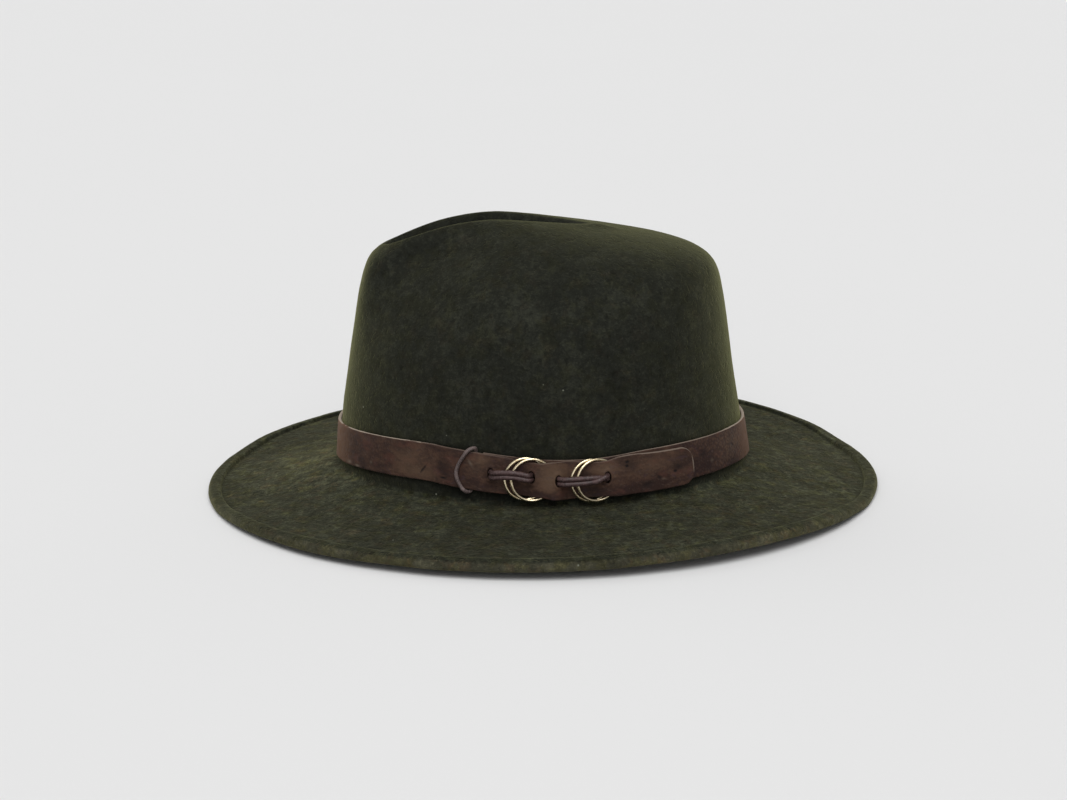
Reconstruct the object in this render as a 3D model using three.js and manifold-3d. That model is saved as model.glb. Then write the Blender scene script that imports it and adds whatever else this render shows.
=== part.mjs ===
// Wool felt hat with a creased crown, a welted brim and a leather strap with two pairs of rings.
//
// Millimetres, +Z up. The origin lies on the surface that the brim rests on, under the middle
// of the hat. The wearer's front is at -X and the wearer's left side, with the rings, at -Y.
// Angles round the hat are in degrees: 0 at the back, 90 at the wearer's left, 180 at the front.

import * as THREE from 'three';
import { mergeVertices } from 'three/addons/utils/BufferGeometryUtils.js';
import Module from 'manifold-3d';

const wasm = await Module();
wasm.setup();

// Felt, and the number of points in each ring of it
const FELT = 2.2;
const POINTS_ROUND = 60;

// Edge of the brim: front and back are X, side is the half width, egg widens the back
const BRIM = { front: -169, back: 169, side: 156.5, egg: 0.008 };

// Rise of the brim's edge above the surface: it rests at the front and at the back
const EDGE_RISE = [
  { angle: 0, rise: 0 },
  { angle: 17, rise: 0 },
  { angle: 30, rise: 2.2 },
  { angle: 55, rise: 5.0 },
  { angle: 90, rise: 3.8 },
  { angle: 128, rise: 2.6 },
  { angle: 152, rise: 1.4 },
  { angle: 164, rise: 0 },
  { angle: 180, rise: 0 },
];

// Section of the edge, which is folded over on top: distance in from the edge, and height
const WELT = [
  { inward: 6.7, height: 2.2 },
  { inward: 6.3, height: 2.6 },
  { inward: 6.0, height: 4.0 },
  { inward: 5.3, height: 4.4 },
  { inward: 1.4, height: 4.4 },
  { inward: 0.4, height: 3.6 },
  { inward: 0, height: 2.2 },
  { inward: 0.4, height: 0.8 },
  { inward: 1.4, height: 0 },
  { inward: 6.7, height: 0 },
];

// Slope of the edge, which droops where it stands clear of the surface
const WELT_SLOPE = 0.25;
const WELT_SLOPE_RISE = 3;

// Brim between the break and the welt
const BREAK_RADIUS = 2.2;
const BRIM_RINGS = 4;
const BRIM_SAG = 0.8;

// Crown, a row for each section from the break up to the ridge and down into the crease
const CROWN = [
  { front: -102.3, back: 103.2, side: 80.6, egg: 0.04, frontZ: 15.8, sideZ: 14.2, backZ: 14.2 },
  { front: -99.9, back: 99.2, side: 78.7, egg: 0.04, frontZ: 42, sideZ: 42, backZ: 41 },
  { front: -96.8, back: 96.2, side: 76.2, egg: 0.05, frontZ: 62, sideZ: 61, backZ: 62 },
  { front: -93.2, back: 93.8, side: 72.6, egg: 0.07, frontZ: 84, sideZ: 80, backZ: 82 },
  { front: -89.6, back: 91.1, side: 67.0, egg: 0.1, frontZ: 103, sideZ: 97, backZ: 98.5 },
  { front: -86.5, back: 88.0, side: 60.0, egg: 0.14, frontZ: 113.5, sideZ: 109, backZ: 111 },
  { front: -83.6, back: 81.5, side: 50.0, egg: 0.19, frontZ: 118.8, sideZ: 118.6, backZ: 118 },
  { front: -81.0, back: 71.0, side: 38.0, egg: 0.22, frontZ: 121.4, sideZ: 126.4, backZ: 122.6 },
  { front: -79.2, back: 56.0, side: 26.0, egg: 0.16, frontZ: 122.8, sideZ: 132.0, backZ: 126.4 },
  { front: -77.6, back: 41.0, side: 16.0, egg: -0.1, frontZ: 123.4, sideZ: 135.9, backZ: 129.4 },
  { front: -75.6, back: 30.0, side: 10.4, egg: -0.45, frontZ: 122.8, sideZ: 137.2, backZ: 132.2 },
  { front: -72.0, back: 23.0, side: 7.4, egg: -0.45, frontZ: 119.8, sideZ: 134.8, backZ: 132.4 },
  { front: -68.0, back: 16.0, side: 4.6, egg: -0.4, frontZ: 116.6, sideZ: 130.0, backZ: 131.6 },
  { front: -64.0, back: 8.0, side: 1.8, egg: -0.3, frontZ: 114.6, sideZ: 127.2, backZ: 130.2 },
];

// How a section's height falls off from its side to its front and its back
const FRONT_FALL = 1.6;
const BACK_FALL = 1.7;

// Pinch: the dents of thumb and fingers in the two sides of the crown's front
const PINCH = { depth: 13, x: -60, z: 116, length: 34, height: 30, clear: 9, full: 34 };

// Strap, from its plain start under the tail, round the back and the front, to its tip
const STRAP_WIDTH = 18.5;
const STRAP_THICKNESS = 1.7;
const STRAP_GAP = 0.4;
const STRAP_BEVEL = 0.35;
const STRAP_START = 106;
const STRAP_TIP = 45.3 - 360;
const TAIL_FROM = 123 - 360;
const PLAIN_STEP = 5;
const TAIL_STEP = 1.9;
const TIP_RADIUS = 6.5;
const TIP_TURNS = [0, 20, 40, 60, 75, 90];
const TIP_DROP = { from: -290, to: -299, height: 1.7 };

// Height of the strap's middle line
const STRAP_HEIGHT = [
  { angle: 0, height: 25.4 },
  { angle: 30, height: 27.3 },
  { angle: 46, height: 27.4 },
  { angle: 60, height: 27.1 },
  { angle: 72, height: 25.5 },
  { angle: 79, height: 24.9 },
  { angle: 86, height: 25.05 },
  { angle: 95, height: 26.3 },
  { angle: 105, height: 27.8 },
  { angle: 115, height: 29.65 },
  { angle: 125, height: 30.3 },
  { angle: 140, height: 29.65 },
  { angle: 156, height: 28.2 },
  { angle: 180, height: 26.3 },
];

// Tail: how far it stands off the layer below, and how far the rings squeeze each edge in
const TAIL = [
  { angle: 45, lift: 2, squeeze: 0 },
  { angle: 62, lift: 2, squeeze: 0 },
  { angle: 69.75, lift: 5.1, squeeze: 0 },
  { angle: 73.65, lift: 5.4, squeeze: 0.8 },
  { angle: 77.45, lift: 3.4, squeeze: 0.75 },
  { angle: 80.75, lift: 2.1, squeeze: 0.3 },
  { angle: 82.5, lift: 2, squeeze: 0 },
  { angle: 86.9, lift: 5.1, squeeze: 0 },
  { angle: 90.7, lift: 5.4, squeeze: 0.9 },
  { angle: 94.5, lift: 3.4, squeeze: 0.9 },
  { angle: 97.8, lift: 2.1, squeeze: 0.45 },
  { angle: 106, lift: 2.1, squeeze: 0 },
  { angle: 113, lift: 2.4, squeeze: 0 },
  { angle: 123, lift: 0, squeeze: 0 },
];

// Rings: the front half of each lies over the tail and the rear half behind it
const RING_RADIUS = 9.95;
const RING_WIRE = 1.3;
const RING_TILT = 9.6;
const RING_SIDES = 6;
const RING_STEPS = 24;
const RINGS = [
  { name: 'ring_1a', angle: 94.5, up: -0.2, lift: 3.4 },
  { name: 'ring_1b', angle: 92.8, up: -0.2, lift: 4.35 },
  { name: 'ring_2a', angle: 77.45, up: -0.3, lift: 3.4 },
  { name: 'ring_2b', angle: 76, up: -0.3, lift: 4.35 },
];

// Laces: two strands side by side, from slot to slot over the front halves of a pair of rings.
// fromUp and toUp are the heights of the ends over the strap's middle line, bow is the rise between.
const STRAND_RADIUS = 1.05;
const STRAND_PITCH = 2.0;
const LACE_STEPS = 15;
const SLOT = { along: 3.4, height: 6.2, points: 12 };
const LACES = [
  { name: 'lace_1', from: 103.75, to: 92.9, fromUp: 0.1, toUp: 1.2, bow: 1.35 },
  { name: 'lace_2', from: 86, to: 73.3, fromUp: 0.1, toUp: 0.7, bow: 0.25 },
];

// Arch of a lace: share of its way, and share of its rise from the tail to its crest
const LACE_CREST = 9.8;
const LACE_ARCH = [
  { way: 0, rise: 0 },
  { way: 0.02, rise: 0.33 },
  { way: 0.14, rise: 0.85 },
  { way: 0.42, rise: 1 },
  { way: 0.75, rise: 0.98 },
  { way: 0.93, rise: 0.92 },
  { way: 0.985, rise: 0.46 },
  { way: 1, rise: 0 },
];

// Keeper: a round thong round the tail, bowed towards the front.
// along runs to the back, up and out are measured from the middle of the tail.
const KEEPER_ANGLE = 110.1;
const KEEPER_RADIUS = 0.8;
const KEEPER_SIDES = 6;
const KEEPER_STEPS = 30;
const KEEPER_PATH = [
  { along: 3.4, up: 10.8, out: -0.4 },
  { along: 0.9, up: 10.1, out: 1.9 },
  { along: -1.9, up: 6.4, out: 2.05 },
  { along: -4.5, up: 1.6, out: 2.05 },
  { along: -5.1, up: -2.4, out: 2.05 },
  { along: -3.7, up: -6.4, out: 2.05 },
  { along: -1.2, up: -9.7, out: 1.9 },
  { along: 0.6, up: -10.55, out: -0.5 },
  { along: 1.6, up: -8.8, out: -2.2 },
  { along: 2.6, up: 0, out: -2.25 },
  { along: 3.4, up: 8.6, out: -2.2 },
];

// Corners of a mesh that lie closer than this are one
const WELD = 1e-4;

const rad = THREE.MathUtils.degToRad;
const { clamp, lerp, smoothstep } = THREE.MathUtils;

// Value of a column of a table at a place along its first column, with no overshoot
function readTable(rows, key, column, place) {
  const last = rows.length - 1;
  const at = clamp(place, rows[0][key], rows[last][key]);
  let i = 0;
  while (i < last - 1 && at > rows[i + 1][key]) {
    i += 1;
  }
  const slope = (j) => {
    const inside = j >= 0 && j < last;
    return inside ? (rows[j + 1][column] - rows[j][column]) / (rows[j + 1][key] - rows[j][key]) : 0;
  };
  const tangent = (j) => {
    const product = slope(j - 1) * slope(j);
    return product <= 0 ? 0 : (2 * product) / (slope(j - 1) + slope(j));
  };
  const span = rows[i + 1][key] - rows[i][key];
  const t = (at - rows[i][key]) / span;
  const values = rows[i][column] * (1 + 2 * t) * (1 - t) ** 2 + rows[i + 1][column] * t * t * (3 - 2 * t);
  const tangents = tangent(i) * t * (1 - t) ** 2 - tangent(i + 1) * t * t * (1 - t);
  return values + span * tangents;
}

// Tables run from the back to the front, and both sides of the hat are alike
function fromBack(angle) {
  const turn = ((angle % 360) + 360) % 360;
  return turn > 180 ? 360 - turn : turn;
}

// Plan of an egg-shaped oval at an angle
function oval(row, angle) {
  const c = Math.cos(rad(angle));
  const s = Math.sin(rad(angle));
  return {
    x: (row.back + row.front) / 2 + ((row.back - row.front) / 2) * c,
    y: -row.side * s * (1 + row.egg * c),
  };
}

// Point of a crown section, pushed in where the front is pinched
function crownPoint(row, angle) {
  const c = Math.cos(rad(angle));
  const { x, y } = oval(row, angle);
  const endZ = lerp(row.frontZ, row.backZ, (1 + c) / 2);
  const z = lerp(row.sideZ, endZ, Math.abs(c) ** (c < 0 ? FRONT_FALL : BACK_FALL));
  const along = (x - PINCH.x) / PINCH.length;
  const up = (z - PINCH.z) / PINCH.height;
  const push = Math.exp(-along * along - up * up) * smoothstep(Math.abs(y), PINCH.clear, PINCH.full);
  return new THREE.Vector3(x, y - Math.sign(y) * PINCH.depth * push, z);
}

// Ring of points round the hat
function ringOf(pointAt) {
  return Array.from({ length: POINTS_ROUND }, (_, i) => pointAt((360 * i) / POINTS_ROUND));
}

// Adds a ring halfway between each two rings, on the smooth curve through them
function refine(rings) {
  const at = (k) => rings[clamp(k, 0, rings.length - 1)];
  return rings.flatMap((ring, k) => {
    if (k === rings.length - 1) {
      return [ring];
    }
    const between = ring.map((p, i) => {
      const near = p.clone().add(at(k + 1)[i]).multiplyScalar(9 / 16);
      const far = at(k - 1)[i].clone().add(at(k + 2)[i]).multiplyScalar(1 / 16);
      return near.sub(far);
    });
    return [ring, between];
  });
}

// The same rings on the inner face of the felt. They run from the break upwards.
function inset(rings) {
  const count = rings[0].length;
  return rings.map((ring, k) => ring.map((p, i) => {
    const round = ring[(i + 1) % count].clone().sub(ring[(i + count - 1) % count]);
    const next = rings[Math.min(k + 1, rings.length - 1)][i];
    const past = rings[Math.max(k - 1, 0)][i];
    return p.clone().addScaledVector(round.cross(next.clone().sub(past)).normalize(), FELT);
  }));
}

// Geometry from points and faces, with its faces pointing out
function closedGeometry(points, faces) {
  let volume = 0;
  for (let i = 0; i < faces.length; i += 3) {
    const [a, b, c] = [points[faces[i]], points[faces[i + 1]], points[faces[i + 2]]];
    volume += a.dot(b.clone().cross(c));
  }
  const geometry = new THREE.BufferGeometry().setFromPoints(points);
  geometry.setIndex(volume < 0 ? faces.reverse() : faces);
  geometry.computeVertexNormals();
  return geometry;
}

// Closed skin through a row of rings: joined end to end, or closed across its two ends
function loft(rings, endless = false) {
  const count = rings[0].length;
  const faces = [];
  const bands = endless ? rings.length : rings.length - 1;
  for (let k = 0; k < bands; k += 1) {
    const here = k * count;
    const there = ((k + 1) % rings.length) * count;
    for (let i = 0; i < count; i += 1) {
      const j = (i + 1) % count;
      faces.push(here + i, here + j, there + j, here + i, there + j, there + i);
    }
  }
  if (!endless) {
    const last = (rings.length - 1) * count;
    faces.push(...acrossRing(count));
    faces.push(...acrossRing(count).reverse().map((i) => last + i));
  }
  return closedGeometry(rings.flat(), faces);
}

// Triangles across a ring whose points face each other in pairs, from the first to the middle one
function acrossRing(count) {
  const faces = [0, count - 1, 1];
  for (let i = 1; i < count / 2 - 1; i += 1) {
    faces.push(i, count - i, count - i - 1, i, count - i - 1, i + 1);
  }
  const middle = count / 2;
  return [...faces, middle - 1, middle + 1, middle];
}

// Felt: crown, brim and welt in one piece
function feltBody() {
  const outer = CROWN.map((row) => ringOf((angle) => crownPoint(row, angle)));
  const inner = inset(outer);

  // Foot of the wall, the way out from it, and the brim's edge beyond it
  const spoke = (angle) => {
    const foot = crownPoint(CROWN[0], angle);
    const edge = oval(BRIM, angle);
    const out = new THREE.Vector3(edge.x - foot.x, edge.y - foot.y, 0);
    const reach = out.length();
    const rise = readTable(EDGE_RISE, 'angle', 'rise', fromBack(angle));
    const slope = WELT_SLOPE * smoothstep(rise, 0, WELT_SLOPE_RISE);
    return { foot, out: out.normalize(), reach, rise, slope };
  };
  // Round of the break, a quarter turn from the wall to the brim about one centre line
  const breakRing = (radius, turn) => ringOf((angle) => {
    const { foot, out } = spoke(angle);
    const outward = BREAK_RADIUS - radius * Math.cos(rad(turn));
    const point = foot.clone().addScaledVector(out, outward);
    return point.setZ(foot.z - radius * Math.sin(rad(turn)));
  });
  const brimRing = (share, drop) => ringOf((angle) => {
    const { foot, out, reach, rise, slope } = spoke(angle);
    const start = BREAK_RADIUS;
    const end = reach - WELT[0].inward;
    const endHeight = rise + FELT + slope * WELT[0].inward;
    const height = lerp(foot.z - BREAK_RADIUS, endHeight, share) - BRIM_SAG * Math.sin(Math.PI * share);
    return foot.clone().addScaledVector(out, lerp(start, end, share)).setZ(height - drop);
  });
  const weltRing = ({ inward, height }) => ringOf((angle) => {
    const { foot, out, reach, rise, slope } = spoke(angle);
    return foot.clone().addScaledVector(out, reach - inward).setZ(rise + height + slope * inward);
  });

  const shares = Array.from({ length: BRIM_RINGS - 1 }, (_, i) => (i + 1) / BRIM_RINGS);
  return loft([
    ...refine(outer).reverse(),
    breakRing(BREAK_RADIUS, 45),
    breakRing(BREAK_RADIUS, 90),
    ...shares.map((share) => brimRing(share, 0)),
    ...WELT.map(weltRing),
    ...shares.reverse().map((share) => brimRing(share, FELT)),
    breakRing(BREAK_RADIUS + FELT, 90),
    breakRing(BREAK_RADIUS + FELT, 45),
    ...inner,
  ]);
}

// Place on the crown's wall at an angle and a height, with its directions.
// along runs to the back on the wearer's left side, up along the wall, out away from it.
function wallPlace(angle, height) {
  const low = crownPoint(CROWN[0], angle);
  const high = crownPoint(CROWN[1], angle);
  const point = low.clone().lerp(high, (height - low.z) / (high.z - low.z));
  const up = high.sub(low).normalize();
  const past = crownPoint(CROWN[0], angle - 0.5);
  const along = past.sub(crownPoint(CROWN[0], angle + 0.5)).normalize();
  const out = along.clone().cross(up).normalize();
  return { point, along: up.clone().cross(out).normalize(), up, out };
}

function offset(place, along, up, out) {
  return place.point.clone()
    .addScaledVector(place.along, along)
    .addScaledVector(place.up, up)
    .addScaledVector(place.out, out);
}

const strapHeight = (angle) => readTable(STRAP_HEIGHT, 'angle', 'height', fromBack(angle));

// Distance of a layer's middle from the crown's wall
const layerOut = (lift) => STRAP_GAP + STRAP_THICKNESS / 2 + lift;
const tailOut = (angle) => layerOut(readTable(TAIL, 'angle', 'lift', angle));

// Section of the strap, counted from the middle of one edge face
function strapSection(angle, halfWidth) {
  const isTail = angle <= TAIL_FROM;
  const tailAngle = angle + 360;
  const out = isTail ? tailOut(tailAngle) : layerOut(0);
  const half = halfWidth - (isTail ? readTable(TAIL, 'angle', 'squeeze', tailAngle) : 0);
  const drop = TIP_DROP.height * (isTail ? smoothstep(-angle, -TIP_DROP.from, -TIP_DROP.to) : 0);
  const place = wallPlace(angle, strapHeight(angle) - drop);
  const t = STRAP_THICKNESS / 2;
  const b = STRAP_BEVEL;
  return [
    [half, -t + b], [half, t - b], [half - b, t], [-half + b, t],
    [-half, t - b], [-half, -t + b], [-half + b, -t], [half - b, -t],
  ].map(([up, through]) => offset(place, 0, up, out + through));
}

// Oval plug that cuts a slot through the tail and stops short of the layer below
function slotPlug([angle, up]) {
  const place = wallPlace(angle, strapHeight(angle));
  const middle = tailOut(angle);
  return loft([middle - 0.6 * STRAP_THICKNESS, middle + STRAP_THICKNESS].map((out) => (
    Array.from({ length: SLOT.points }, (_, i) => {
      const turn = (2 * Math.PI * i) / SLOT.points;
      return offset(place, (SLOT.along / 2) * Math.cos(turn), up + (SLOT.height / 2) * Math.sin(turn), out);
    })
  )));
}

function toManifold(geometry) {
  const bare = geometry.clone();
  bare.deleteAttribute('normal');
  bare.deleteAttribute('uv');
  const merged = mergeVertices(bare, WELD);
  return new wasm.Manifold(new wasm.Mesh({
    numProp: 3,
    vertProperties: new Float32Array(merged.attributes.position.array),
    triVerts: new Uint32Array(merged.index.array),
  }));
}

function fromManifold(body) {
  const mesh = body.getMesh();
  const geometry = new THREE.BufferGeometry();
  geometry.setAttribute('position', new THREE.BufferAttribute(new Float32Array(mesh.vertProperties), 3));
  geometry.setIndex(new THREE.BufferAttribute(new Uint32Array(mesh.triVerts), 1));
  geometry.computeVertexNormals();
  return geometry;
}

function strap() {
  const half = STRAP_WIDTH / 2;
  const sections = [];
  for (let angle = STRAP_START; angle > TAIL_FROM; angle -= PLAIN_STEP) {
    sections.push(strapSection(angle, half));
  }
  // The tip's corners are rounded over their radius, worked out along the strap
  const height = strapHeight(STRAP_TIP);
  const degree = wallPlace(STRAP_TIP, height).point.distanceTo(wallPlace(STRAP_TIP + 1, height).point);
  const tipFrom = STRAP_TIP + TIP_RADIUS / degree;
  for (let angle = TAIL_FROM; angle > tipFrom + TAIL_STEP / 2; angle -= TAIL_STEP) {
    sections.push(strapSection(angle, half));
  }
  TIP_TURNS.forEach((turn) => {
    const angle = STRAP_TIP + (TIP_RADIUS * (1 - Math.sin(rad(turn)))) / degree;
    sections.push(strapSection(angle, half - TIP_RADIUS * (1 - Math.cos(rad(turn)))));
  });
  const whole = toManifold(loft(sections));
  const slots = LACES.flatMap(({ from, to, fromUp, toUp }) => [[from, fromUp], [to, toUp]]);
  const cut = slots.reduce((body, slot) => body.subtract(toManifold(slotPlug(slot))), whole);
  return fromManifold(cut);
}

// Section of a doubled lace, counted from the top: two round strands that touch
const LACE_SECTION = [90, 45, 0, -40].map((turn) => [1, turn])
  .concat([40, 0, -45, -90].map((turn) => [-1, turn]))
  .concat([-135, 180, 140].map((turn) => [-1, turn]))
  .concat([-140, 180, 135].map((turn) => [1, turn]));

function lace({ from, to, fromUp, toUp, bow }) {
  const centres = Array.from({ length: LACE_STEPS + 1 }, (_, i) => {
    const way = (1 - Math.cos((Math.PI * i) / LACE_STEPS)) / 2;
    const angle = lerp(from, to, way);
    const base = lerp(tailOut(from), tailOut(to), way);
    const out = lerp(base, LACE_CREST, readTable(LACE_ARCH, 'way', 'rise', way));
    const up = lerp(fromUp, toUp, way) + bow * Math.sin(Math.PI * way);
    return { place: wallPlace(angle, strapHeight(angle)), up, out };
  });
  const points = centres.map(({ place, up, out }) => offset(place, 0, up, out));
  const sections = centres.map(({ place }, i) => {
    const next = points[Math.min(i + 1, LACE_STEPS)];
    const past = points[Math.max(i - 1, 0)];
    const side = next.clone().sub(past).cross(place.up).normalize();
    return LACE_SECTION.map(([strand, turn]) => points[i].clone()
      .addScaledVector(place.up, (strand * STRAND_PITCH) / 2 + STRAND_RADIUS * Math.sin(rad(turn)))
      .addScaledVector(side, STRAND_RADIUS * Math.cos(rad(turn))));
  });
  return loft(sections);
}

function keeper() {
  const place = wallPlace(KEEPER_ANGLE, strapHeight(KEEPER_ANGLE));
  const middle = tailOut(KEEPER_ANGLE);
  const path = KEEPER_PATH.map(({ along, up, out }) => offset(place, along, up, middle + out));
  const curve = new THREE.CatmullRomCurve3(path, true, 'centripetal');
  const frames = curve.computeFrenetFrames(KEEPER_STEPS, true);
  const rings = Array.from({ length: KEEPER_STEPS }, (_, k) => (
    Array.from({ length: KEEPER_SIDES }, (__, i) => {
      const turn = (2 * Math.PI * i) / KEEPER_SIDES;
      return curve.getPointAt(k / KEEPER_STEPS)
        .addScaledVector(frames.normals[k], KEEPER_RADIUS * Math.cos(turn))
        .addScaledVector(frames.binormals[k], KEEPER_RADIUS * Math.sin(turn));
    })
  ));
  return loft(rings, true);
}

const felt = new THREE.MeshStandardMaterial({ color: 0x32372a, roughness: 0.95, metalness: 0 });
const strapLeather = new THREE.MeshStandardMaterial({ color: 0x46352e, roughness: 0.7, metalness: 0 });
const laceLeather = new THREE.MeshStandardMaterial({ color: 0x3c2d2e, roughness: 0.6, metalness: 0 });
const brass = new THREE.MeshStandardMaterial({ color: 0x968c64, roughness: 0.35, metalness: 1 });

function piece(name, geometry, material) {
  const mesh = new THREE.Mesh(geometry, material);
  mesh.name = name;
  return mesh;
}

// Ring in its place, with its plane turned a little from the wall's
function ringPiece({ name, angle, up, lift }) {
  const place = wallPlace(angle, strapHeight(angle));
  const tilt = rad(RING_TILT);
  const inPlane = place.along.clone()
    .multiplyScalar(Math.cos(tilt))
    .addScaledVector(place.out, -Math.sin(tilt));
  const facing = inPlane.clone().cross(place.up);
  const wire = new THREE.TorusGeometry(RING_RADIUS, RING_WIRE / 2, RING_SIDES, RING_STEPS);
  const mesh = piece(name, wire, brass);
  mesh.setRotationFromMatrix(new THREE.Matrix4().makeBasis(inPlane, place.up, facing));
  mesh.position.copy(offset(place, 0, up, layerOut(lift)));
  return mesh;
}

const trim = new THREE.Group();
trim.add(piece('hat_strap', strap(), strapLeather));
trim.add(piece('keeper_loop', keeper(), laceLeather));
LACES.forEach((row) => trim.add(piece(row.name, lace(row), laceLeather)));
RINGS.forEach((row) => trim.add(ringPiece(row)));

const hat = new THREE.Group();
hat.add(piece('felt_body', feltBody(), felt));
hat.add(trim);

export default hat;
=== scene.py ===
"""Loden hat: the finished look of a wool felt hat with a leather strap, laces and rings."""

import math
from collections import namedtuple
from functools import reduce

import bpy
import numpy as np
from bpy.props import FloatProperty, FloatVectorProperty, PointerProperty
from mathutils import Euler, Matrix, Vector, kdtree, noise


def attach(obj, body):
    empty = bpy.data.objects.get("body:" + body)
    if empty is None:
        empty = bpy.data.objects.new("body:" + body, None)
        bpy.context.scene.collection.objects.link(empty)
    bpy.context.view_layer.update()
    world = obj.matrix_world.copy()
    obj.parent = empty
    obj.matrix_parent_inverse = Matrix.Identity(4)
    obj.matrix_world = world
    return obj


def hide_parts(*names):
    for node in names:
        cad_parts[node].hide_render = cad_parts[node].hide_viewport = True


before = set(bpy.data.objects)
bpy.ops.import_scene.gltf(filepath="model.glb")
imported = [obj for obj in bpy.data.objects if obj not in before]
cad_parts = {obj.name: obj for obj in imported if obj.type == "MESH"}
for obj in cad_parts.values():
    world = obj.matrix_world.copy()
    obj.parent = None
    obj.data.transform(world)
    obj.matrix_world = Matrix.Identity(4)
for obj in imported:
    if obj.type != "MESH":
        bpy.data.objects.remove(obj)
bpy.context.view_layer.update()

bl_info = {
    "name": "Loden Hat",
    "version": (1, 0, 0),
    "blender": (4, 5, 0),
    "location": "View3D > Sidebar > Hat",
    "description": "Builds a wool felt hat with its leather strap, laces and rings",
    "category": "Add Mesh",
}

MM = 0.001


def table(columns, *rows):
    """Rows of values under named columns."""
    row_type = namedtuple("Row", columns)
    return tuple(row_type(*row) for row in rows)


def values(columns, *row):
    """One row of values with their names."""
    return table(columns, row)[0]


# All tables are in millimetres. Angles are in degrees round the hat: 0 at the back,
# 90 at the wearer's left, 180 at the front.
FELT = 2.2
BRIM = values("front back side egg", -169, 169, 156.5, 0.008)
EDGE_RISE = table(
    "angle rise",
    (0, 0), (17, 0), (30, 2.2), (55, 5.0), (90, 3.8), (128, 2.6), (152, 1.4), (164, 0),
    (180, 0),
)

# Folded edge of the brim: the fold's cut edge, its top, the rounded rim, the underside
WELT = table(
    "inward height",
    (7.4, 2.2), (6.9, 2.22), (6.5, 2.35), (6.3, 2.7), (6.24, 3.3), (6.1, 3.85), (5.7, 4.22),
    (5.1, 4.38), (4.1, 4.43), (3.0, 4.44), (2.1, 4.38), (1.4, 4.22), (0.8, 3.85), (0.35, 3.3),
    (0.08, 2.65), (0.0, 2.0), (0.14, 1.3), (0.5, 0.65), (1.0, 0.25), (1.7, 0.05), (2.8, 0.0),
    (4.6, 0.0), (6.7, 0.0),
)
WELT_SLOPE = 0.25
WELT_SLOPE_RISE = 3
BREAK_RADIUS = 2.2
BRIM_SAG = 0.8

CROWN = table(
    "front back side egg front_z side_z back_z",
    (-102.3, 103.2, 80.6, 0.04, 15.8, 14.2, 14.2),
    (-99.9, 99.2, 78.7, 0.04, 42, 42, 41),
    (-96.8, 96.2, 76.2, 0.05, 62, 61, 62),
    (-93.2, 93.8, 72.6, 0.07, 84, 80, 82),
    (-89.6, 91.1, 67.0, 0.1, 103, 97, 98.5),
    (-86.5, 88.0, 60.0, 0.14, 113.5, 109, 111),
    (-83.6, 81.5, 50.0, 0.19, 118.8, 118.6, 118),
    (-81.0, 71.0, 38.0, 0.22, 121.4, 126.4, 122.6),
    (-79.2, 56.0, 26.0, 0.16, 122.8, 132.0, 126.4),
    (-77.6, 41.0, 16.0, -0.1, 123.4, 135.9, 129.4),
    (-75.6, 30.0, 10.4, -0.45, 122.8, 137.2, 132.2),
    (-72.0, 23.0, 7.4, -0.45, 119.8, 134.8, 132.4),
    (-68.0, 16.0, 4.6, -0.4, 116.6, 130.0, 131.6),
    (-64.0, 8.0, 1.8, -0.3, 114.6, 127.2, 130.2),
)
FRONT_FALL = 1.6
BACK_FALL = 1.7
PINCH = values("depth x z length height clear full", 13, -60, 116, 34, 30, 9, 34)

STRAP_WIDTH = 18.5
STRAP_THICKNESS = 1.7
STRAP_GAP = 0.4
STRAP_START = 106
STRAP_TIP = 46.2 - 360
TAIL_FROM = 123 - 360
TIP_RADIUS = 6.5
# The tail hangs a little towards its tip, and is a little wider at its top edge before it
TIP_DROP = values("start end height", -290, -299, 1.7)
TAIL_SWELL = values("angle reach height", 65, 8, 0.8)

# Height of the strap's middle line
STRAP_HEIGHT = table(
    "angle height",
    (0, 25.4), (30, 27.3), (46, 27.4), (60, 27.1), (72, 25.5), (79, 24.9), (86, 25.05),
    (95, 26.3), (105, 27.8), (115, 29.65), (125, 30.3), (140, 29.65), (156, 28.2), (180, 26.3),
)
# How far the tail stands off the layer below, and how far the rings squeeze each edge in
TAIL = table(
    "angle lift squeeze",
    (45, 2, 0), (62, 2, 0), (69.75, 5.1, 0), (73.65, 5.4, 0.8), (77.45, 3.4, 0.75),
    (80.75, 2.1, 0.3), (82.5, 2, 0), (86.9, 5.1, 0), (90.7, 5.4, 0.9), (94.5, 3.4, 0.9),
    (97.8, 2.1, 0.45), (106, 2.1, 0), (113, 2.4, 0), (123, 0, 0),
)
SLOTS = table(
    "angle up along height",
    (103.75, 0.1, 3.4, 6.0),
    (92.9, 1.2, 3.4, 6.0),
    (86.0, 0.1, 3.4, 6.0),
    (73.3, 0.7, 3.4, 6.0),
)

RINGS = table(
    "name angle up lift",
    ("ring_1a", 94.5, -0.2, 3.4),
    ("ring_1b", 92.8, -0.2, 4.35),
    ("ring_2a", 77.45, -0.3, 3.4),
    ("ring_2b", 76, -0.3, 4.35),
)
RING_RADIUS = 9.95
RING_TILT = 9.6

# Way of a lace from slot to slot, and its rise from the tail to its crest
LACE_CREST = 9.8
LACE_ARCH = table(
    "way rise",
    (0, 0), (0.02, 0.33), (0.14, 0.85), (0.42, 1), (0.75, 0.98), (0.93, 0.92), (0.985, 0.46),
    (1, 0),
)


def strand(*rows):
    """How far up and out of its lace's middle line a strand lies along its way."""
    return table("way up out", *rows)


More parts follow.
